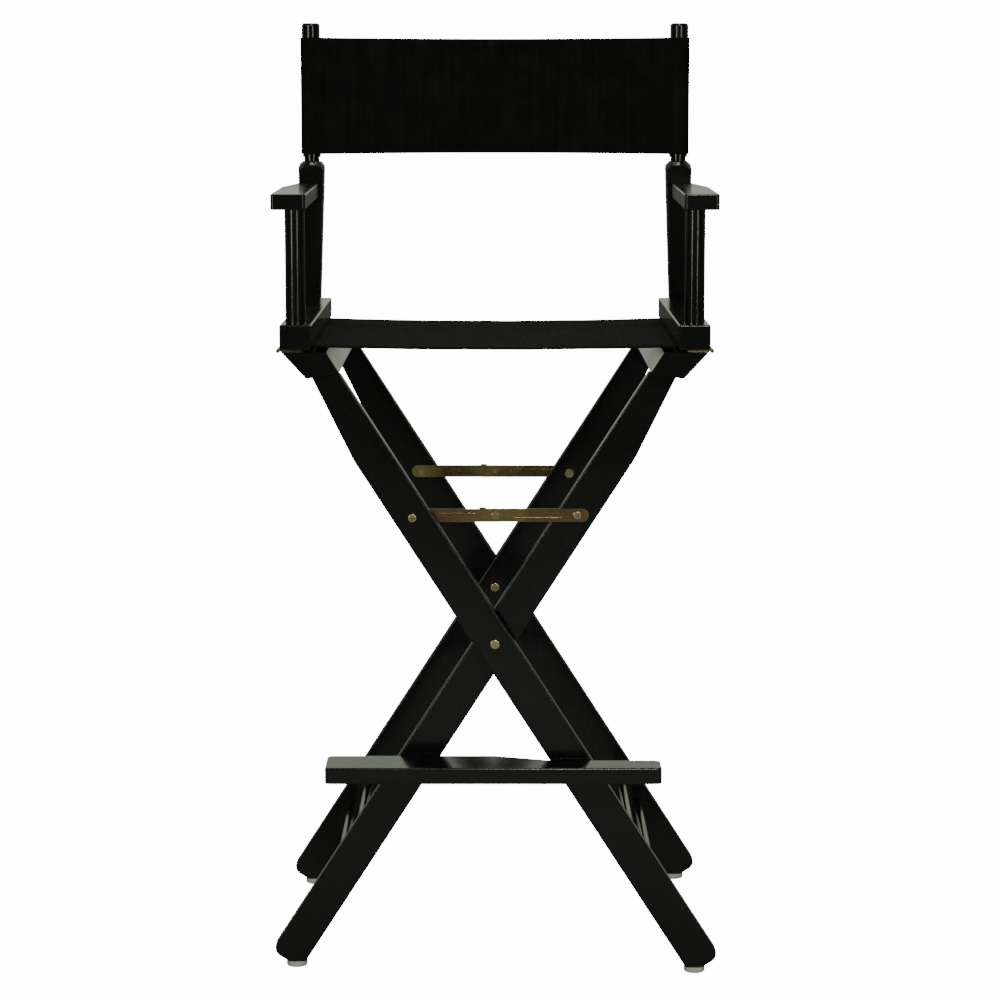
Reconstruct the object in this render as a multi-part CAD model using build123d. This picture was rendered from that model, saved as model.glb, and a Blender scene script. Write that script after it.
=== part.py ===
from build123d import *
import math
import os

# Bar-height folding director chair, millimetres.
# +X is the sitter's left-to-right as seen from the front, +Y runs from front to back, +Z is up.
# Everything is drawn about the middle of the leg frames and moved by Y_SHIFT when it is written,
# so that the origin is the middle of the whole box, on the floor.
# Two crossed leg frames carry the two side frames:
#   the outer frame runs from upper left to lower right and carries the left side,
#   the inner frame is its mirror image, set inside it, and carries the right side.

# ---- driving dimensions ----
OVERALL_HEIGHT = 1156.0
BOARD = 19.0                 # thickness of the legs and the arms

# leg frames
LEAN = 32.7                  # leg angle from vertical, degrees
CROSSING_Z = 410.0           # height of the crossing bolts
LEG_WIDTH = 43.0
OUTER_FACE = 217.0           # outer faces of the outer frame, front and back
FRAME_GAP = 5.0              # room for the braces and spacers between the frames
LEG_EDGE = 1.6
FOOT_ROUND = 12.0
TAPER_START = 279.0          # along the leg, above the crossing
STRETCHER_R = 5.5
UPPER_STRETCHER = 317.0      # along the leg, below the crossing
LOWER_STRETCHER = 360.0
STRETCHER_SOCKET = 12.0

# feet
GLIDE_R = 13.0
GLIDE_T = 7.0
GLIDE_X = 244.5
HEEL_X = 254.0               # where the level cut under the foot meets the square end

# seat rails
RAIL_OUT = 256.0
RAIL_IN = 218.0
RAIL_TOP = 795.0
RAIL_BOTTOM = 765.0
RAIL_HALF = 217.0
GROOVE_X = 227.5
GROOVE_Z = 773.0
GROOVE_R = 5.2
GROOVE_SLOT = 2.5
SEAT_DOWEL_R = 3.6
SEAT_Z = 769.2               # middle of the seat canvas where it leaves the rail

# hinges between the rails and the hinge bars
LEAF_T = 1.2
LEAF_GAP = 0.2
LEAF_FRONT = 150.0           # each hinge runs from here to LEAF_END, front and back
LEAF_END = 213.0
LEAF_IN = 230.0
LEAF_OUT = 254.9
PIN_X = 258.2
PIN_R = 1.1
KNUCKLE_R = 2.4
KNUCKLES = 5

# back posts and arms
POST_X = 241.0
POST_Y = 190.0
POST_R = 12.0
STILE_DEPTH = 34.0
SHOULDER_Z = 977.0
NECK_R = 10.0
ARM_TOP = 949.0
ARM_POST_X = 238.0
ARM_POST_Y = -190.0

# canvas
CANVAS_T = 1.6
SEAT_FRONT = -210.0
SEAT_BACK = 186.0
BACK_BOTTOM = 986.0
BACK_TOP = 1137.0
SLEEVE_GAP = 0.15

# folding braces
BRACE_X = 99.0
BRACE_Z = 564.0
LINK_T = 1.4
LINK_W = 16.0
BEAD = 0.7

# footrest
FOOTREST_LEFT = 204.0
FOOTREST_RIGHT = 200.0
FOOTREST_FRONT = -262.0
FOOTREST_TOP = 268.0
FOOTREST_T = 20.0
FOOTREST_GAP = 3.0

# fasteners
BOLT_R = 3.0
BOLT_HEAD_R = 6.2
BOLT_HEAD_T = 2.2
NUT_T = 4.0
RUNNING = 0.08               # radial clearance of a turning shaft
SLIP = 0.1                   # room between flat faces that turn on each other

# ---- worked out from those ----
OUTER_BACK = OUTER_FACE - BOARD
INNER_FACE = OUTER_BACK - FRAME_GAP
INNER_BACK = INNER_FACE - BOARD
Y_SHIFT = -(FOOTREST_FRONT + OUTER_FACE + SLIP + NUT_T) / 2
SIN = math.sin(math.radians(LEAN))
COS = math.cos(math.radians(LEAN))
LEAF_BOTTOM = RAIL_BOTTOM - LEAF_T
BAR_TOP = LEAF_BOTTOM - LEAF_GAP - LEAF_T
PIN_Z = LEAF_BOTTOM - LEAF_GAP / 2
FOOTREST_Z = FOOTREST_TOP - FOOTREST_T / 2
FOOTREST_X = (CROSSING_Z - FOOTREST_Z) * SIN / COS
BACK_PLANE = POST_Y - POST_R - SLEEVE_GAP - CANVAS_T
SLEEVE_EDGE = POST_X - 15.0


# ---- helpers ----
def block(x0, x1, y0, y1, z0, z1):
    """A box given by its limits."""
    box = Box(abs(x1 - x0), abs(y1 - y0), abs(z1 - z0))
    return Pos((x0 + x1) / 2, (y0 + y1) / 2, (z0 + z1) / 2) * box


def plate(points, y0, y1):
    """A prism along Y with the outline given in X and Z."""
    outline = Polyline(*[(x, y0, z) for x, z in points], close=True)
    return extrude(make_face(outline), amount=y1 - y0, dir=(0, 1, 0))


def rod_y(x, z, radius, y0, y1):
    return Pos(x, (y0 + y1) / 2, z) * Rot(90, 0, 0) * Cylinder(radius, abs(y1 - y0))


def rod_z(x, y, radius, z0, z1):
    return Pos(x, y, (z0 + z1) / 2) * Cylinder(radius, abs(z1 - z0))


def on_leg(along, across):
    """A point of the outer frame in X and Z: along the leg above the crossing, and across it."""
    return (-along * SIN + across * COS, CROSSING_Z + along * COS + across * SIN)


def mirrored(shape):
    """The same piece on the other side of the chair."""
    return mirror(shape, about=Plane.YZ)


def both_ends(shape):
    """The piece and its mirror image at the other end, front or back."""
    return Compound([shape, mirror(shape, about=Plane.XZ)])


def easing(shape, axis, radius):
    """Round the edges of the two faces that look along the axis."""
    return fillet(shape.faces().filter_by(axis).edges(), radius)


def nearest_edge(shape, axis, point):
    return shape.edges().filter_by(axis).sort_by_distance(point)[0]


def domed_head(x, z, y, out, radius=BOLT_HEAD_R, height=BOLT_HEAD_T):
    """A round head with a cross recess that stands out from the plane y towards out (+1 or -1)."""
    head = rod_y(x, z, radius, y, y + out * height)
    rim = head.faces().sort_by(Axis.Y)[-1 if out > 0 else 0].edges()
    head = fillet(rim, height * 0.8)
    depth = height * 0.4
    top = y + out * height
    for length, width in ((radius, radius * 0.2), (radius * 0.2, radius)):
        head -= block(x - length / 2, x + length / 2, top - out * depth, top + out,
                      z - width / 2, z + width / 2)
    return head


def hex_nut(x, z, y0, y1, across=10.0, bore=BOLT_R):
    radius = across / 2 / math.cos(math.pi / 6)
    ring = [(x + radius * math.cos(math.pi / 3 * i), z + radius * math.sin(math.pi / 3 * i))
            for i in range(6)]
    return plate(ring, y0, y1) - rod_y(x, z, bore, y0 - 1, y1 + 1)


def leaf_screw(x, y, z, way):
    """A countersunk screw with its head flush at z and its shank going up (+1) or down (-1)."""
    head_t = 1.6
    shank = 12.0
    head = Pos(x, y, z + way * head_t / 2) * Cone(2.9 if way > 0 else 1.3, 1.3 if way > 0 else 2.9, head_t)
    return head + rod_z(x, y, 1.3, z + way * head_t, z + way * shank)


# ---- leg frames, drawn as the outer frame ----
FOOT_END = HEEL_X * SIN + (CROSSING_Z - GLIDE_T) * COS
BAR_TOE = on_leg((737.0 - CROSSING_Z - LEG_WIDTH / 2 * SIN) / COS, LEG_WIDTH / 2)
BAR_NOSE = (-224.5, 731.0)


def leg(y0, y1):
    """One leg board: a level cut and a rounded corner at the foot, tapered under the hinge bar."""
    half = LEG_WIDTH / 2
    low = on_leg(-(CROSSING_Z - GLIDE_T - half * SIN) / COS, -half)
    corner = on_leg(-FOOT_END, half)
    shoulder = (-217.5, 732.0)
    body = plate([low, (HEEL_X, GLIDE_T), corner, BAR_TOE, shoulder, on_leg(TAPER_START, -half)], y0, y1)
    body = fillet(nearest_edge(body, Axis.Y, (corner[0], (y0 + y1) / 2, corner[1])), FOOT_ROUND)
    body = easing(body, Axis.Y, LEG_EDGE)
    body += tenon((y0 + y1) / 2)
    return body


def tenon(y):
    """The tongue at the top of a leg that enters the hinge bar."""
    thick = 9.0
    corners = [on_leg(360, -3), on_leg(360, 12), on_leg(396, 12), on_leg(396, -3)]
    return plate(corners, y - thick / 2, y + thick / 2)


def hinge_bar(leg_faces):
    """The cross bar at the top of a frame, with a mortise for each of its two legs."""
    back_edge = on_leg((BAR_TOP - CROSSING_Z - LEG_WIDTH / 2 * SIN) / COS, LEG_WIDTH / 2)
    body = plate([(-253.5, BAR_TOP), back_edge, BAR_TOE, BAR_NOSE], -RAIL_HALF, RAIL_HALF)
    body = fillet(body.edges().filter_by(Axis.Y).sort_by(Axis.Z)[:2], LEG_EDGE)
    for y in (-sum(leg_faces) / 2, sum(leg_faces) / 2):
        body -= tenon(y)
    for screw in leaf_screws(BAR_TOP + LEAF_T, -1):
        body -= screw
    return body


def stretcher(along, reach):
    """A round bar between the front and back leg of one frame, below the footrest."""
    x, z = on_leg(-along, 0)
    return rod_y(x, z, STRETCHER_R, -reach, reach)


def frame_legs(face, back):
    """The front and back leg of one frame, bored for what fastens to them."""
    front = leg(-face, -back)
    rear = leg(back, face)
    for along in (UPPER_STRETCHER, LOWER_STRETCHER):
        bar = stretcher(along, back + STRETCHER_SOCKET)
        front -= bar
        rear -= bar
    nails = foot_nails((face + back) / 2)
    front -= nails
    rear -= nails
    return front, rear


def foot_nails(y):
    """The steel shank of each glide, in the leg above it."""
    return both_ends(rod_z(GLIDE_X, -y, 1.6, GLIDE_T, GLIDE_T + 22))


def glides(y):
    """A pair of round plastic glides with a domed rim, flat underneath."""
    disc = rod_z(GLIDE_X, -y, GLIDE_R, 0, GLIDE_T)
    disc = fillet(disc.faces().sort_by(Axis.Z)[0].edges(), 2.2)
    disc = fillet(disc.faces().sort_by(Axis.Z)[-1].edges(), 1.0)
    return both_ends(disc)


# ---- hinges, drawn for the left side ----
def leaf_screws(z, way):
    screws = []
    for side in (-1, 1):
        for step in (-1, 0, 1):
            y = side * (LEAF_FRONT + LEAF_END) / 2 + step * 18
            x = -241.0 - 5.0 * (step == 0)
            screws.append(leaf_screw(x, y, z, way))
    return screws


def hinge_leaves(upper):
    """The two leaves on one side of the hinge pins, each with its own knuckles rolled on."""
    z0, z1 = (LEAF_BOTTOM, RAIL_BOTTOM) if upper else (BAR_TOP, BAR_TOP + LEAF_T)
    length = (LEAF_END - LEAF_FRONT) / KNUCKLES
    leaf = block(-LEAF_OUT, -LEAF_IN, -LEAF_END, -LEAF_FRONT, z0, z1)
    leaf = chamfer(nearest_edge(leaf, Axis.Z, (-LEAF_IN, -LEAF_END, z0)), 12.0, 23.0)
    for i in range(0 if upper else 1, KNUCKLES, 2):
        y0 = -LEAF_END + i * length + 0.1
        y1 = y0 + length - 0.2
        leaf += block(-PIN_X, -LEAF_OUT, y0, y1, z0, z1)
        leaf += rod_y(-PIN_X, PIN_Z, KNUCKLE_R, y0, y1)
    leaf -= rod_y(-PIN_X, PIN_Z, PIN_R + 0.04, -LEAF_END - 1, -LEAF_FRONT + 1)
    pair = both_ends(leaf)
    for screw in leaf_screws(LEAF_BOTTOM if upper else BAR_TOP + LEAF_T, 1 if upper else -1):
        pair -= screw
    return pair


def hinge_pins():
    return both_ends(rod_y(-PIN_X, PIN_Z, PIN_R, -LEAF_END, -LEAF_FRONT))


# ---- side frame, drawn for the left side ----
def seat_rail():
    """The rail with the groove that holds the seat's hem and dowel, open at the back."""
    rail = block(-RAIL_OUT, -RAIL_IN, -RAIL_HALF, RAIL_HALF, RAIL_BOTTOM, RAIL_TOP)
    rail = fillet(rail.edges(), 1.8)
    groove = rod_y(-GROOVE_X, GROOVE_Z, GROOVE_R, SEAT_FRONT - 1, RAIL_HALF + 1)
    groove += block(-GROOVE_X, -RAIL_IN + 1, SEAT_FRONT - 1, RAIL_HALF + 1,
                    SEAT_Z - GROOVE_SLOT / 2, SEAT_Z + GROOVE_SLOT / 2)
    rail -= groove
    rail -= rod_z(-ARM_POST_X, ARM_POST_Y, POST_R, RAIL_TOP - 12, RAIL_TOP + 1)
    rail -= stile_tenon()
    for screw in leaf_screws(LEAF_BOTTOM, 1):
        rail -= screw
    return rail


def stile_tenon():
    return block(-252, -237, POST_Y - 11, POST_Y + 11, RAIL_TOP - 18, RAIL_TOP + 1)


def back_post():
    """The back post: a square stile that narrows downwards, turned round above its shoulder."""
    y0 = POST_Y - STILE_DEPTH / 2
    y1 = POST_Y + STILE_DEPTH / 2
    stile = plate([(-256, RAIL_TOP), (-230.5, RAIL_TOP), (-224, SHOULDER_Z), (-258, SHOULDER_Z)], y0, y1)
    stile = fillet(stile.edges().filter_by(lambda e: abs((e @ 1 - e @ 0).Z) > 100), 1.5)
    length = SHOULDER_Z - RAIL_TOP
    stile &= Pos(-POST_X, POST_Y, SHOULDER_Z - length / 2) * Cone(POST_R + length, POST_R, length)
    turned = rod_z(-POST_X, POST_Y, POST_R, SHOULDER_Z + 5, OVERALL_HEIGHT)
    turned = fillet(turned.faces().sort_by(Axis.Z)[-1].edges(), 4.0)
    neck = rod_z(-POST_X, POST_Y, NECK_R, SHOULDER_Z - 4, SHOULDER_Z + 6)
    return stile + turned + neck + stile_tenon() - arm_screw()


def arm_post():
    """The round post that carries the front of the arm."""
    return rod_z(-ARM_POST_X, ARM_POST_Y, POST_R, RAIL_TOP - 12, ARM_TOP - BOARD + 9)


def armrest():
    """The flat arm: widest in the middle, its outer edge cut back to the stile."""
    y_back = POST_Y - STILE_DEPTH / 2
    corners = [(-224.4, -204), (-266, -204), (-270, 30), (-257.5, y_back), (-231.5, y_back)]
    outline = Polyline(*[(x, y, ARM_TOP - BOARD) for x, y in corners], close=True)
    arm = extrude(make_face(outline), amount=BOARD, dir=(0, 0, 1))
    arm = fillet(arm.edges().filter_by(Axis.Z).sort_by(Axis.Y)[:2], 4.0)
    top_and_bottom = arm.faces().filter_by(Axis.Z).edges()
    arm = fillet(top_and_bottom.filter_by(lambda e: e.center().Y < y_back - 1), 1.8)
    return arm - arm_post() - arm_screw()


def arm_screw():
    """The screw through the stile into the end of the arm."""
    z = ARM_TOP - BOARD / 2
    y = POST_Y + STILE_DEPTH / 2
    head = Pos(-244, y - 1.2, z) * Rot(-90, 0, 0) * Cone(2.0, 4.0, 2.4)
    return head + rod_y(-244, z, 2.0, y - 62, y - 2)


def seat_dowel():
    return rod_y(-GROOVE_X, GROOVE_Z, SEAT_DOWEL_R, SEAT_FRONT, SEAT_BACK)


def seat_hem():
    """The canvas loop around the seat dowel and its tongue out to the rail's inner face."""
    loop_r = SEAT_DOWEL_R + 1.2
    loop = rod_y(-GROOVE_X, GROOVE_Z, loop_r, SEAT_FRONT, SEAT_BACK)
    loop += seat_cloth(-GROOVE_X, -RAIL_IN + 0.3)
    return loop - seat_dowel()


def seat_cloth(x0, x1):
    return block(x0, x1, SEAT_FRONT, SEAT_BACK, SEAT_Z - CANVAS_T / 2, SEAT_Z + CANVAS_T / 2)


def back_sleeve():
    """The canvas sleeve on the back post, with the start of the back panel."""
    inner = POST_R + SLEEVE_GAP
    tube = rod_z(-POST_X, POST_Y, inner + CANVAS_T, BACK_BOTTOM, BACK_TOP)
    flat = block(-POST_X, -SLEEVE_EDGE, BACK_PLANE, BACK_PLANE + CANVAS_T, BACK_BOTTOM, BACK_TOP)
    return tube + flat - rod_z(-POST_X, POST_Y, inner, BACK_BOTTOM - 1, BACK_TOP + 1)


def seat_half():
    """Half of the seat panel, from the rail to the middle."""
    return seat_cloth(-RAIL_IN + 0.5, -0.1)


def back_half():
    """Half of the back panel, from the sleeve to the middle."""
    return block(-SLEEVE_EDGE + 0.2, -0.1, BACK_PLANE, BACK_PLANE + CANVAS_T, BACK_BOTTOM, BACK_TOP)


# ---- braces, drawn at the front ----
LEFT_LINK_Y = -OUTER_BACK + 0.2 + BEAD
RIGHT_LINK_Y = LEFT_LINK_Y + LINK_T + 0.3


def link_plate(x0, x1, y):
    """A stamped strip with round ends."""
    strip = block(x0, x1, y, y + LINK_T, BRACE_Z - LINK_W / 2, BRACE_Z + LINK_W / 2)
    return fillet(strip.edges().filter_by(Axis.Y), LINK_W / 2 - 0.1)


def stamped_bead(x0, x1, y, out):
    """A long pressed rib that stands out of the plane y towards out (+1 or -1)."""
    bead = block(x0, x1, y, y + out * BEAD, BRACE_Z - 3.2, BRACE_Z + 3.2)
    bead = fillet(bead.edges().filter_by(Axis.Y), 3.0)
    crest = bead.faces().sort_by(Axis.Y)[-1 if out > 0 else 0]
    return fillet(crest.edges(), 0.5)


def left_link():
    """The link on the outer frame, just behind its front leg."""
    strip = link_plate(-BRACE_X - 12, 11, LEFT_LINK_Y)
    strip += stamped_bead(-72, -22, LEFT_LINK_Y, -1)
    strip -= stamped_bead(-72, -22, LEFT_LINK_Y + LINK_T, -1)
    strip -= rod_y(-BRACE_X, BRACE_Z, 2.2 + RUNNING, LEFT_LINK_Y - 2, LEFT_LINK_Y + 3)
    return strip - rod_y(0, BRACE_Z, 2.2, LEFT_LINK_Y - 2, LEFT_LINK_Y + 3)


def right_link():
    """The link on the inner frame: its tail ends in a tab that stops on the other link's top edge."""
    y = RIGHT_LINK_Y
    top = BRACE_Z + LINK_W / 2
    strip = link_plate(-24, BRACE_X + 14, y)
    strip += block(-19, -11, y, y + LINK_T, BRACE_Z, top + 1.7)
    strip += block(-19, -11, y - LINK_T - 0.3, y + LINK_T, top + 0.3, top + 1.7)
    strip += stamped_bead(22, 82, y + LINK_T, 1)
    strip -= stamped_bead(22, 82, y, 1)
    return strip - rod_y(BRACE_X, BRACE_Z, 2.2 + RUNNING, y - 1, y + LINK_T + 1)


def rivet_heads():
    """The head of the middle rivet, with its shank in the left link."""
    head = domed_head(0, BRACE_Z, LEFT_LINK_Y, -1, 4.6, BEAD)
    return head + rod_y(0, BRACE_Z, 2.2, LEFT_LINK_Y, LEFT_LINK_Y + LINK_T)


def rivet_tails():
    """The closed end of the middle rivet, behind the right link."""
    y = RIGHT_LINK_Y + LINK_T
    return rod_y(0, BRACE_Z, 3.0, y, y + 0.6)


def outer_brace_screws():
    """The brace pivots on the outer frame: a head on the front leg's face, a rivet at the back."""
    front = domed_head(-BRACE_X, BRACE_Z, -OUTER_FACE, -1, 5.4, 2.2)
    front += rod_y(-BRACE_X, BRACE_Z, 2.2, -OUTER_FACE, LEFT_LINK_Y + LINK_T)
    front += rod_y(-BRACE_X, BRACE_Z, 4.0, -OUTER_BACK, LEFT_LINK_Y - SLIP)
    front += rod_y(-BRACE_X, BRACE_Z, 2.2, LEFT_LINK_Y + LINK_T, LEFT_LINK_Y + LINK_T + 1)
    front += rod_y(-BRACE_X, BRACE_Z, 3.4, LEFT_LINK_Y + LINK_T + SLIP, LEFT_LINK_Y + LINK_T + 1)
    return both_ends(front)


def inner_brace_screws():
    """The brace pivots on the inner frame."""
    y = RIGHT_LINK_Y
    front = domed_head(BRACE_X, BRACE_Z, y - SLIP, -1, 5.2, 2.0)
    front += rod_y(BRACE_X, BRACE_Z, 2.2, y - SLIP, -INNER_BACK + 0.5)
    front += rod_y(BRACE_X, BRACE_Z, 4.0, y + LINK_T + SLIP, -INNER_FACE)
    front += rod_y(BRACE_X, BRACE_Z, 6.0, -INNER_BACK, -INNER_BACK + 1.2)
    return both_ends(front)


# ---- crossing and footrest ----
def crossing_bolts():
    """The two bolts that the frames turn on, with their heads towards the front."""
    front = domed_head(0, CROSSING_Z, -OUTER_FACE - SLIP, -1)
    front += rod_y(0, CROSSING_Z, BOLT_R, -OUTER_FACE - SLIP, -INNER_BACK + NUT_T)
    back = domed_head(0, CROSSING_Z, INNER_BACK, -1)
    back += rod_y(0, CROSSING_Z, BOLT_R, INNER_BACK, OUTER_FACE + SLIP + NUT_T)
    return Compound([front, back])


def crossing_nuts():
    front = hex_nut(0, CROSSING_Z, -INNER_BACK, -INNER_BACK + NUT_T)
    back = hex_nut(0, CROSSING_Z, OUTER_FACE + SLIP, OUTER_FACE + SLIP + NUT_T)
    return Compound([front, back])


def crossing_spacers():
    """The round spacers that keep the frames apart."""
    ring = rod_y(0, CROSSING_Z, 9, -OUTER_BACK + SLIP, -INNER_FACE)
    ring -= rod_y(0, CROSSING_Z, BOLT_R, -OUTER_BACK, -INNER_FACE + 1)
    return both_ends(ring)


def footrest_board():
    """The footrest: deep where it meets the inner leg, stepped back to pass in front of the outer."""
    deep = -INNER_FACE - FOOTREST_GAP
    shallow = -OUTER_FACE - FOOTREST_GAP
    corners = [(-FOOTREST_LEFT, FOOTREST_FRONT), (FOOTREST_RIGHT, FOOTREST_FRONT),
               (FOOTREST_RIGHT, shallow), (68, shallow), (0, deep), (-FOOTREST_LEFT, deep)]
    outline = Polyline(*[(x, y, FOOTREST_TOP - FOOTREST_T) for x, y in corners], close=True)
    board = extrude(make_face(outline), amount=FOOTREST_T, dir=(0, 0, 1))
    ends = board.edges().filter_by(Axis.Z).filter_by(lambda e: abs(e.center().X) > FOOTREST_RIGHT - 1)
    board = fillet(ends, 6.0)
    board = easing(board, Axis.Z, 2.2)
    notch = block(FOOTREST_X - 14, FOOTREST_X + 4.4, shallow - 13, shallow + 1,
                  FOOTREST_TOP - FOOTREST_T - 1, FOOTREST_Z + 4.2)
    return board - notch - footrest_bolt()


def footrest_bolt():
    """The pivot bolt, screwed into the footrest's back edge and through the inner front leg."""
    return rod_y(-FOOTREST_X, FOOTREST_Z, 4.0, -INNER_FACE - 40, -INNER_BACK + NUT_T + 1)


def footrest_washer():
    ring = rod_y(-FOOTREST_X, FOOTREST_Z, 9, -INNER_FACE - FOOTREST_GAP, -INNER_FACE - 0.1)
    return ring - footrest_bolt()


def footrest_nut():
    return hex_nut(-FOOTREST_X, FOOTREST_Z, -INNER_BACK + 0.1, -INNER_BACK + NUT_T, 13.0, 4.0)


def footrest_peg():
    """The peg on the outer front leg that the footrest's notch sits on."""
    return rod_y(FOOTREST_X, FOOTREST_Z, 4.0, -OUTER_FACE - FOOTREST_GAP - 11, -OUTER_FACE + 13)


# ---- the chair ----
def outer_frame():
    front, rear = frame_legs(OUTER_FACE, OUTER_BACK)
    turning = rod_y(0, CROSSING_Z, BOLT_R + RUNNING, -OUTER_FACE - 1, OUTER_FACE + 1)
    front -= turning
    rear -= turning
    front -= outer_brace_screws()
    rear -= outer_brace_screws()
    front -= footrest_peg()
    reach = OUTER_BACK + STRETCHER_SOCKET
    return {
        "outer_front_leg": front,
        "outer_rear_leg": rear,
        "outer_hinge_bar": hinge_bar((OUTER_FACE, OUTER_BACK)),
        "outer_upper_stretcher": stretcher(UPPER_STRETCHER, reach),
        "outer_lower_stretcher": stretcher(LOWER_STRETCHER, reach),
        "right_glides": glides((OUTER_FACE + OUTER_BACK) / 2),
        "right_glide_nails": foot_nails((OUTER_FACE + OUTER_BACK) / 2),
        "left_lower_hinge_leaves": hinge_leaves(False),
        "left_lower_leaf_screws": Compound(leaf_screws(BAR_TOP + LEAF_T, -1)),
        "left_brace_screws": outer_brace_screws(),
        "footrest_peg": footrest_peg(),
    }


def inner_frame():
    front, rear = frame_legs(INNER_FACE, INNER_BACK)
    front -= crossing_bolts()
    rear -= crossing_bolts()
    front = mirrored(front) - inner_brace_screws()
    rear = mirrored(rear) - inner_brace_screws()
    front -= rod_y(-FOOTREST_X, FOOTREST_Z, 4.0 + RUNNING, -INNER_FACE - 1, -INNER_BACK + 1)
    reach = INNER_BACK + STRETCHER_SOCKET
    return {
        "inner_front_leg": front,
        "inner_rear_leg": rear,
        "inner_hinge_bar": mirrored(hinge_bar((INNER_FACE, INNER_BACK))),
        "inner_upper_stretcher": mirrored(stretcher(UPPER_STRETCHER, reach)),
        "inner_lower_stretcher": mirrored(stretcher(LOWER_STRETCHER, reach)),
        "left_glides": mirrored(glides((INNER_FACE + INNER_BACK) / 2)),
        "left_glide_nails": mirrored(foot_nails((INNER_FACE + INNER_BACK) / 2)),
        "right_lower_hinge_leaves": mirrored(hinge_leaves(False)),
        "right_lower_leaf_screws": mirrored(Compound(leaf_screws(BAR_TOP + LEAF_T, -1))),
        "right_brace_screws": inner_brace_screws(),
        "crossing_bolts": crossing_bolts(),
        "crossing_nuts": crossing_nuts(),
        "crossing_spacers": crossing_spacers(),
    }


def side_frames():
    left = {
        "seat_rail": seat_rail(),
        "back_post": back_post(),
        "arm_post": arm_post(),
        "armrest": armrest(),
        "arm_screw": arm_screw(),
        "seat_dowel": seat_dowel(),
        "seat_hem": seat_hem(),
        "upper_hinge_leaves": hinge_leaves(True),
        "upper_leaf_screws": Compound(leaf_screws(LEAF_BOTTOM, 1)),
        "hinge_pins": hinge_pins(),
        "back_sleeve": back_sleeve(),
        "seat_half": seat_half(),
        "back_half": back_half(),
    }
    nodes = {"left_" + name: shape for name, shape in left.items()}
    nodes.update({"right_" + name: mirrored(shape) for name, shape in left.items()})
    return nodes


def braces_and_footrest():
    return {
        "front_left_brace_link": left_link(),
        "rear_left_brace_link": mirror(left_link(), about=Plane.XZ),
        "front_right_brace_link": right_link(),
        "rear_right_brace_link": mirror(right_link(), about=Plane.XZ),
        "brace_rivet_heads": both_ends(rivet_heads()),
        "brace_rivet_tails": both_ends(rivet_tails()),
        "footrest_board": footrest_board(),
        "footrest_bolt": footrest_bolt(),
        "footrest_washer": footrest_washer(),
        "footrest_nut": footrest_nut(),
    }


def main():
    os.makedirs("parts", exist_ok=True)
    nodes = {}
    nodes.update(outer_frame())
    nodes.update(inner_frame())
    nodes.update(side_frames())
    nodes.update(braces_and_footrest())
    for name, shape in nodes.items():
        export_step(Pos(0, Y_SHIFT, 0) * shape, f"parts/{name}.step")
    print(len(nodes), "nodes")


main()
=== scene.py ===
import bpy
import math
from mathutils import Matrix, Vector


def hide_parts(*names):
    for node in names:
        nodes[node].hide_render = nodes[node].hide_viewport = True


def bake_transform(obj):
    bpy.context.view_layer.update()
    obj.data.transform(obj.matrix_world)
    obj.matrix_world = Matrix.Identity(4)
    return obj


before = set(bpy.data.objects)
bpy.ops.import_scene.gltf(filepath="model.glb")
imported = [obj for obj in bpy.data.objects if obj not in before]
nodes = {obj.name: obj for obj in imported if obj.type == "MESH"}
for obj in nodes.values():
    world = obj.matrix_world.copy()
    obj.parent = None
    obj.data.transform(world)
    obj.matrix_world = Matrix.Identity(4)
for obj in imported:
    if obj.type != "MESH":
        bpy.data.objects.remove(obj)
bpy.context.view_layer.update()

# metres; the chair's own middle is this far from the origin along Y
Y0 = 0.02045


# ---- materials ----
def new_material(name):
    mat = bpy.data.materials.new(name)
    mat.use_nodes = True
    tree = mat.node_tree
    return mat, tree, tree.nodes["Principled BSDF"]


def mapped(tree, scale, turn=(0, 0, 0)):
    """Object coordinates, turned and then scaled."""
    coord = tree.nodes.new("ShaderNodeTexCoord")
    rotate = tree.nodes.new("ShaderNodeMapping")
    rotate.inputs["Rotation"].default_value = turn
    size = tree.nodes.new("ShaderNodeMapping")
    size.inputs["Scale"].default_value = scale
    tree.links.new(coord.outputs["Object"], rotate.inputs["Vector"])
    tree.links.new(rotate.outputs["Vector"], size.inputs["Vector"])
    return size.outputs["Vector"]


def noise(tree, vector, scale, detail=3.0, roughness=0.5):
    node = tree.nodes.new("ShaderNodeTexNoise")
    node.inputs["Scale"].default_value = scale
    node.inputs["Detail"].default_value = detail
    node.inputs["Roughness"].default_value = roughness
    tree.links.new(vector, node.inputs["Vector"])
    return node.outputs["Fac"]


def ramp(tree, fac, low, high, start=0.3, end=0.7):
    node = tree.nodes.new("ShaderNodeValToRGB")
    node.color_ramp.elements[0].position = start
    node.color_ramp.elements[0].color = low
    node.color_ramp.elements[1].position = end
    node.color_ramp.elements[1].color = high
    tree.links.new(fac, node.inputs["Fac"])
    return node.outputs["Color"]


def bump(tree, height, bsdf, strength, distance, under=None):
    node = tree.nodes.new("ShaderNodeBump")
    node.inputs["Strength"].default_value = strength
    node.inputs["Distance"].default_value = distance
    tree.links.new(height, node.inputs["Height"])
    if under is not None:
        tree.links.new(under, node.inputs["Normal"])
    tree.links.new(node.outputs["Normal"], bsdf.inputs["Normal"])
    return node.outputs["Normal"]


def grey(value, tint=(1.0, 1.0, 1.0)):
    return (value * tint[0], value * tint[1], value * tint[2], 1.0)


# tints of the lacquer, of the studio round the chair, of its lamps and of the canvas's lighter threads
LACQUER_TINT = (0.94, 1.02, 0.96)
STUDIO_TINT = (0.90, 1.0, 0.78)
LIGHT_COLOUR = (0.97, 1.0, 0.92)
CANVAS_TINT = (1.0, 1.0, 0.88)


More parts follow.
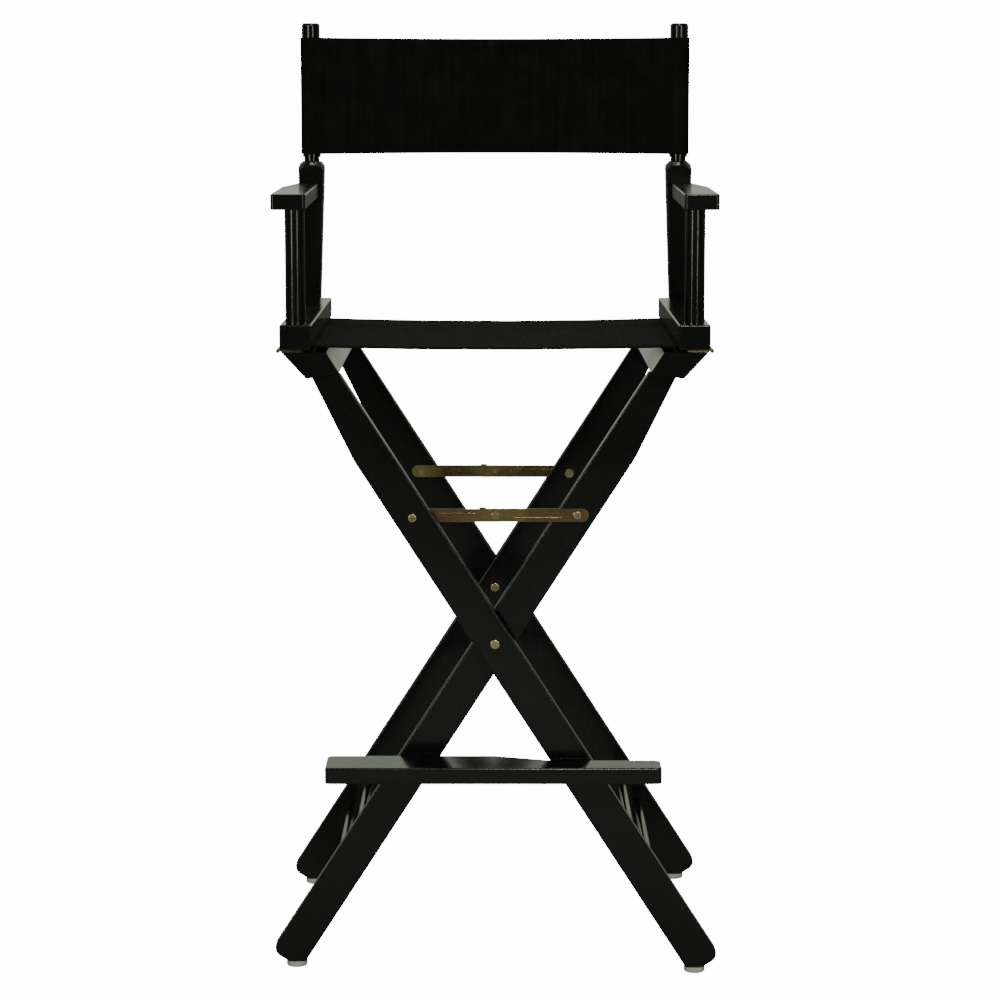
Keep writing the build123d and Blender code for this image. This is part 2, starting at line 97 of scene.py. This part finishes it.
def lacquer(name, turn):
    """Black satin lacquer over wood whose grain runs along X after the turn."""
    mat, tree, bsdf = new_material(name)
    grain = mapped(tree, (6.0, 160.0, 160.0), turn)
    fibre = noise(tree, grain, 1.0, 5.0, 0.6)
    cloud = noise(tree, mapped(tree, (1, 1, 1)), 9.0, 2.0)
    colour = ramp(tree, fibre, grey(0.0030, LACQUER_TINT), grey(0.0060, LACQUER_TINT))
    tree.links.new(colour, bsdf.inputs["Base Color"])
    rough = ramp(tree, cloud, grey(0.17), grey(0.25))
    tree.links.new(rough, bsdf.inputs["Roughness"])
    bsdf.inputs["Coat Weight"].default_value = 0.35
    bsdf.inputs["Coat Roughness"].default_value = 0.10
    bump(tree, fibre, bsdf, 0.10, 0.0003)
    return mat


def yarns(tree, direction, scale, turn):
    """Parallel yarns, as a wave across the given direction."""
    wave = tree.nodes.new("ShaderNodeTexWave")
    wave.wave_type = "BANDS"
    wave.bands_direction = direction
    wave.inputs["Scale"].default_value = 1.0
    wave.inputs["Distortion"].default_value = 1.2
    wave.inputs["Detail"].default_value = 2.0
    tree.links.new(mapped(tree, scale, turn), wave.inputs["Vector"])
    return wave.outputs["Fac"]


def canvas(name, turn=(0, 0, 0)):
    """Black plain-weave canvas: warp ribs along Z after the turn, with a crossing weft."""
    mat, tree, bsdf = new_material(name)
    warp = yarns(tree, "X", (210.0, 210.0, 60.0), turn)
    weft = yarns(tree, "Z", (60.0, 60.0, 210.0), turn)
    streak = noise(tree, mapped(tree, (220.0, 220.0, 5.0), turn), 1.0, 4.0, 0.6)
    slub = noise(tree, mapped(tree, (1, 1, 1)), 35.0, 3.0)
    weave = tree.nodes.new("ShaderNodeMath")
    weave.operation = "ADD"
    tree.links.new(warp, weave.inputs[0])
    tree.links.new(weft, weave.inputs[1])
    shade = tree.nodes.new("ShaderNodeMath")
    shade.operation = "MULTIPLY"
    tree.links.new(streak, shade.inputs[0])
    tree.links.new(slub, shade.inputs[1])
    colour = ramp(tree, shade.outputs["Value"], grey(0.0070), grey(0.0140, CANVAS_TINT), 0.12, 0.42)
    tree.links.new(colour, bsdf.inputs["Base Color"])
    bsdf.inputs["Roughness"].default_value = 0.92
    bsdf.inputs["Specular IOR Level"].default_value = 0.08
    under = bump(tree, weave.outputs["Value"], bsdf, 0.55, 0.0005)
    bump(tree, streak, bsdf, 0.35, 0.0006, under)
    return mat


def metal(name, low, high, rough_low, rough_high, scratch=0.05):
    mat, tree, bsdf = new_material(name)
    vector = mapped(tree, (1, 1, 1))
    stain = noise(tree, vector, 60.0, 4.0, 0.6)
    fine = noise(tree, vector, 900.0, 2.0)
    tree.links.new(ramp(tree, stain, low, high), bsdf.inputs["Base Color"])
    tree.links.new(ramp(tree, fine, grey(rough_low), grey(rough_high)), bsdf.inputs["Roughness"])
    bsdf.inputs["Metallic"].default_value = 1.0
    bump(tree, fine, bsdf, scratch, 0.0001)
    return mat


def passivated(name):
    """Yellow zinc: a thin film over steel that turns gold, rose and green from place to place."""
    mat, tree, bsdf = new_material(name)
    drift = noise(tree, mapped(tree, (1, 1, 1)), 14.0, 1.0)
    colour = ramp(tree, drift, (0.52, 0.33, 0.20, 1), (0.55, 0.55, 0.26, 1), 0.36, 0.62)
    middle = tree.nodes["Color Ramp"].color_ramp.elements.new(0.5)
    middle.color = (0.72, 0.54, 0.24, 1)
    fine = noise(tree, mapped(tree, (1, 1, 1)), 700.0, 2.0)
    tree.links.new(colour, bsdf.inputs["Base Color"])
    tree.links.new(ramp(tree, fine, grey(0.14), grey(0.22)), bsdf.inputs["Roughness"])
    bsdf.inputs["Metallic"].default_value = 1.0
    bump(tree, fine, bsdf, 0.05, 0.0001)
    return mat


def plastic(name, low, high):
    mat, tree, bsdf = new_material(name)
    cloud = noise(tree, mapped(tree, (1, 1, 1)), 120.0, 3.0)
    tree.links.new(ramp(tree, cloud, low, high), bsdf.inputs["Base Color"])
    bsdf.inputs["Roughness"].default_value = 0.48
    bsdf.inputs["Subsurface Weight"].default_value = 0.08
    bump(tree, cloud, bsdf, 0.06, 0.0002)
    return mat


# the legs lean this far from upright
LEAN = math.radians(32.7)
# the lacquer by the direction of the grain
WOOD = {
    "x": lacquer("lacquer_across", (0, 0, 0)),
    "y": lacquer("lacquer_front_to_back", (0, 0, math.radians(90))),
    "z": lacquer("lacquer_upright", (0, math.radians(90), 0)),
    "outer": lacquer("lacquer_outer_leg", (0, LEAN - math.radians(90), 0)),
    "inner": lacquer("lacquer_inner_leg", (0, math.radians(90) - LEAN, 0)),
}
CANVAS_BACK = canvas("canvas_back")
CANVAS_SEAT = canvas("canvas_seat", (math.radians(90), 0, 0))
THREAD = canvas("thread")
BRASS = metal("brass_plate", (0.86, 0.70, 0.36, 1), (0.92, 0.80, 0.50, 1), 0.16, 0.24)
STRAP = passivated("yellow_zinc")
STEEL = metal("plain_steel", (0.45, 0.45, 0.45, 1), (0.58, 0.58, 0.58, 1), 0.30, 0.42)
GLIDE = plastic("glide_plastic", (0.70, 0.66, 0.55, 1), (0.80, 0.76, 0.66, 1))


BRASS_ENDINGS = ("heads", "tails", "screw", "screws", "leaves", "pins", "bolt", "bolts", "nut", "nuts",
                 "washer", "spacers", "peg")


def finish_of(name):
    """The material of a carried CAD piece."""
    if "nails" in name:
        return STEEL
    if "glides" in name:
        return GLIDE
    if "sleeve" in name:
        return CANVAS_BACK
    if "hem" in name:
        return CANVAS_SEAT
    if "link" in name:
        return STRAP
    if name.endswith(BRASS_ENDINGS):
        return BRASS
    if name.endswith("_leg"):
        return WOOD["outer" if name.startswith("outer") else "inner"]
    if "post" in name:
        return WOOD["z"]
    if name == "footrest_board":
        return WOOD["x"]
    return WOOD["y"]


for name, obj in nodes.items():
    if name.endswith("_half"):
        continue
    obj.data.materials.clear()
    obj.data.materials.append(finish_of(name))


# ---- canvas ----
def sheet_mesh(name, rows, columns, place, thickness, material):
    """A closed thin sheet over a grid. place(u, v) gives the middle surface and the unit normal,
    and thickness(u, v) the cloth's thickness there."""
    top, bottom = [], []
    for v in rows:
        for u in columns:
            point, normal = place(u, v)
            half = normal * (thickness(u, v) / 2)
            top.append(point + half)
            bottom.append(point - half)
    wide, high = len(columns), len(rows)
    count = wide * high
    faces = []
    for j in range(high - 1):
        for i in range(wide - 1):
            a = j * wide + i
            faces.append((a, a + 1, a + wide + 1, a + wide))
            faces.append((count + a, count + a + wide, count + a + wide + 1, count + a + 1))
    ring = list(range(wide))
    ring += [j * wide + wide - 1 for j in range(1, high)]
    ring += [(high - 1) * wide + i for i in range(wide - 2, -1, -1)]
    ring += [j * wide for j in range(high - 2, 0, -1)]
    for a, b in zip(ring, ring[1:] + ring[:1]):
        faces.append((b, a, count + a, count + b))
    mesh = bpy.data.meshes.new(name)
    mesh.from_pydata(top + bottom, [], faces)
    mesh.materials.append(material)
    obj = bpy.data.objects.new(name, mesh)
    bpy.context.collection.objects.link(obj)
    for face in mesh.polygons:
        face.use_smooth = face.index < 2 * (wide - 1) * (high - 1)
    return obj


def steps(low, high, count):
    return [low + (high - low) * i / count for i in range(count + 1)]


def graded(low, high, count, band, fine):
    """Values from low to high with extra rows within the band at both ends."""
    return (steps(low, low + band, fine)[:-1] + steps(low + band, high - band, count)
            + steps(high - band, high, fine)[1:])


# a cloth, and the extra thickness and the width of its turned hem
CLOTH = 0.0012
HEM_EXTRA = 0.0009
HEM = 0.013


def cloth_thickness(inside):
    """The cloth's thickness at a distance inside its hemmed edge."""
    return CLOTH + (HEM_EXTRA if inside < HEM else 0.0)


# the seat: half its width, its front and back edges, its height and its sag
SEAT_X = 0.2175
SEAT_FRONT = -0.210 + Y0
SEAT_BACK = 0.186 + Y0
SEAT_Z = 0.7692
SEAT_SAG = 0.0045


def edge_wave(value):
    """The slight unevenness of a stretched cloth."""
    return 0.00015 * math.sin(value * 41.0) + 0.0001 * math.sin(value * 97.0 + 1.1)


def seat_point(x, y):
    across = 1 - (x / SEAT_X) ** 2
    middle = (SEAT_FRONT + SEAT_BACK) / 2
    along = (y - middle) / ((SEAT_BACK - SEAT_FRONT) / 2)
    z = SEAT_Z - SEAT_SAG * across * (1 - 0.25 * along * along)
    z += edge_wave(x * 1.3 + y * 0.4) * across
    pull = 0.0025 * across * math.copysign(abs(along) ** 3, along)
    normal = Vector((-2 * SEAT_SAG * x / SEAT_X ** 2, 0, 1)).normalized()
    return Vector((x, y - pull, z)), normal


def seat_thickness(x, y):
    return cloth_thickness(min(y - SEAT_FRONT, SEAT_BACK - y))


seat = sheet_mesh("seat_canvas", graded(SEAT_FRONT, SEAT_BACK, 44, HEM + 0.001, 7),
                  steps(-SEAT_X, SEAT_X, 72), seat_point, seat_thickness, CANVAS_SEAT)
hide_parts("left_seat_half", "right_seat_half")

# the back: half its width, its lower and upper edges, and its place in front of the posts
BACK_X = 0.2262
BACK_LOW = 0.986
BACK_HIGH = 1.137
BACK_Y = 0.190 - 0.012 - 0.00015 - 0.0008 + Y0


def back_point(x, z):
    across = 1 - (x / BACK_X) ** 2
    up = (z - (BACK_LOW + BACK_HIGH) / 2) / ((BACK_HIGH - BACK_LOW) / 2)
    y = BACK_Y + 0.0028 * across * (1 - 0.3 * up * up)
    y += 0.0007 * math.sin(x * 29.0 + 0.6) * across
    pull = 0.0016 * across * math.copysign(abs(up) ** 3, up)
    return Vector((x, y, z - pull)), Vector((0, -1, 0))


def back_thickness(x, z):
    return cloth_thickness(min(z - BACK_LOW, BACK_HIGH - z))


back_columns = graded(-BACK_X, BACK_X, 70, 0.0045, 3)
back = sheet_mesh("back_canvas", graded(BACK_LOW, BACK_HIGH, 26, HEM + 0.001, 7),
                  back_columns, back_point, back_thickness, CANVAS_BACK)
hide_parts("left_back_half", "right_back_half")


def stitches(name, points, size=0.00045):
    """Short thread stitches along a list of (start, end, normal)."""
    verts, faces = [], []
    for start, end, normal in points:
        along = (end - start).normalized()
        side = along.cross(normal).normalized() * size
        lift = normal * size
        base = len(verts)
        middle = (start + end) / 2 + lift * 1.2
        verts += [start, start + side + lift * 0.2, middle + side, end + side + lift * 0.2, end,
                  end - side + lift * 0.2, middle - side, start - side + lift * 0.2]
        faces.append(tuple(base + i for i in range(8)))
        verts += [v - lift * 1.4 for v in verts[base:base + 8]]
        faces.append(tuple(base + 15 - i for i in range(8)))
        for i in range(8):
            k = (i + 1) % 8
            faces.append((base + k, base + i, base + 8 + i, base + 8 + k))
    mesh = bpy.data.meshes.new(name)
    mesh.from_pydata(verts, [], faces)
    mesh.materials.append(THREAD)
    obj = bpy.data.objects.new(name, mesh)
    bpy.context.collection.objects.link(obj)
    return obj


def seam(place, thick, line, pitch=0.0034, fill=0.72):
    """Stitches on the outer side of a sheet, along a list of (u, v) points."""
    found = []
    for (u0, v0), (u1, v1) in zip(line, line[1:]):
        length = math.hypot(u1 - u0, v1 - v0)
        count = max(1, round(length / pitch))
        for i in range(count):
            a, b = i / count, (i + fill) / count
            u, v = u0 + (u1 - u0) * a, v0 + (v1 - v0) * a
            start, normal = place(u, v)
            end, _ = place(u0 + (u1 - u0) * b, v0 + (v1 - v0) * b)
            lift = normal * (thick(u, v) / 2)
            found.append((start + lift, end + lift, normal))
    return found


# seams run this far inside an edge, and inside a hem's inner edge
INSET = 0.002
seat_rows = []
for y in (SEAT_FRONT + HEM - INSET, SEAT_BACK - HEM + INSET):
    seat_rows += seam(seat_point, seat_thickness, [(-SEAT_X + INSET, y), (SEAT_X - INSET, y)])
seat_thread = stitches("seat_stitching", seat_rows)

back_rows = []
for z in (BACK_LOW + HEM - INSET, BACK_HIGH - HEM + INSET):
    back_rows += seam(back_point, back_thickness, [(-BACK_X + INSET, z), (BACK_X - INSET, z)])
for x in (-BACK_X + INSET, BACK_X - INSET):
    back_rows += seam(back_point, back_thickness, [(x, BACK_LOW + INSET), (x, BACK_HIGH - INSET)])
back_thread = stitches("back_stitching", back_rows)

for piece, left, right, z in ((seat, "left_seat", "right_seat", SEAT_Z),
                              (seat_thread, "left_seat", "right_seat", SEAT_Z),
                              (back, "left_back", "right_back", 1.06),
                              (back_thread, "left_back", "right_back", 1.06)):
    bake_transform(piece)


# ---- floor, light and camera ----


def seen_white(tree, other, output):
    """White where the camera looks straight at it, and the other shader in light and reflections."""
    path = tree.nodes.new("ShaderNodeLightPath")
    glow = tree.nodes.new("ShaderNodeEmission")
    glow.inputs["Color"].default_value = (1, 1, 1, 1)
    glow.inputs["Strength"].default_value = 14.0
    mix = tree.nodes.new("ShaderNodeMixShader")
    tree.links.new(path.outputs["Is Camera Ray"], mix.inputs["Fac"])
    tree.links.new(other, mix.inputs[1])
    tree.links.new(glow.outputs["Emission"], mix.inputs[2])
    tree.links.new(mix.outputs["Shader"], output.inputs["Surface"])


def floor_material():
    mat, tree, bsdf = new_material("studio_white")
    bsdf.inputs["Base Color"].default_value = (0.30, 0.30, 0.30, 1)
    bsdf.inputs["Roughness"].default_value = 0.9
    seen_white(tree, bsdf.outputs["BSDF"], tree.nodes["Material Output"])
    return mat


def studio_world():
    """Bright behind the chair and above it, dark behind the camera."""
    world = bpy.data.worlds.new("studio")
    world.use_nodes = True
    tree = world.node_tree
    coord = tree.nodes.new("ShaderNodeTexCoord")
    split = tree.nodes.new("ShaderNodeSeparateXYZ")
    tree.links.new(coord.outputs["Generated"], split.inputs["Vector"])
    shade = ramp(tree, split.outputs["Y"], grey(0.08, STUDIO_TINT), grey(1.0, STUDIO_TINT), 0.05, 0.75)
    soft = tree.nodes["Background"]
    tree.links.new(shade, soft.inputs["Color"])
    soft.inputs["Strength"].default_value = 0.55
    seen_white(tree, soft.outputs["Background"], tree.nodes["World Output"])
    return world


bpy.ops.mesh.primitive_plane_add(size=60, location=(0, 0, 0))
floor = bpy.context.object
floor.name = "floor"
floor.data.materials.append(floor_material())
bpy.context.scene.world = studio_world()


def area_light(name, place, target, wide, high, energy):
    """A rectangular light at a place, facing the target."""
    data = bpy.data.lights.new(name, "AREA")
    data.shape = "RECTANGLE"
    data.size = wide
    data.size_y = high
    data.energy = energy
    data.color = LIGHT_COLOUR
    obj = bpy.data.objects.new(name, data)
    bpy.context.collection.objects.link(obj)
    obj.location = place
    obj.rotation_euler = (Vector(target) - Vector(place)).to_track_quat("-Z", "Y").to_euler()


area_light("left_strip", (-2.1, -3.1, 1.5), (0, 0, 0.7), 0.45, 1.8, 22)
area_light("right_strip", (1.7, -3.3, 1.5), (0, 0, 0.7), 0.45, 1.8, 16)
area_light("high_front", (0.3, -3.0, 2.9), (0, 0, 0.6), 0.5, 0.5, 34)
area_light("top", (0, 0.5, 3.2), (0, 0, 0.6), 1.2, 1.2, 22)

# the camera stands in front of the chair and looks slightly down
CAMERA_DISTANCE = 3.583
CAMERA_HEIGHT = 1.0828
CAMERA_DOWN = 8.4
camera_data = bpy.data.cameras.new("camera")
camera_data.lens = 102.5
camera_data.sensor_width = 36
camera_data.shift_x = 0.005
camera_data.clip_end = 100
camera = bpy.data.objects.new("camera", camera_data)
bpy.context.collection.objects.link(camera)
camera.location = (0, -CAMERA_DISTANCE + Y0, CAMERA_HEIGHT)
camera.rotation_euler = (math.radians(90 - CAMERA_DOWN), 0, 0)
bpy.context.scene.camera = camera

bpy.context.view_layer.update()
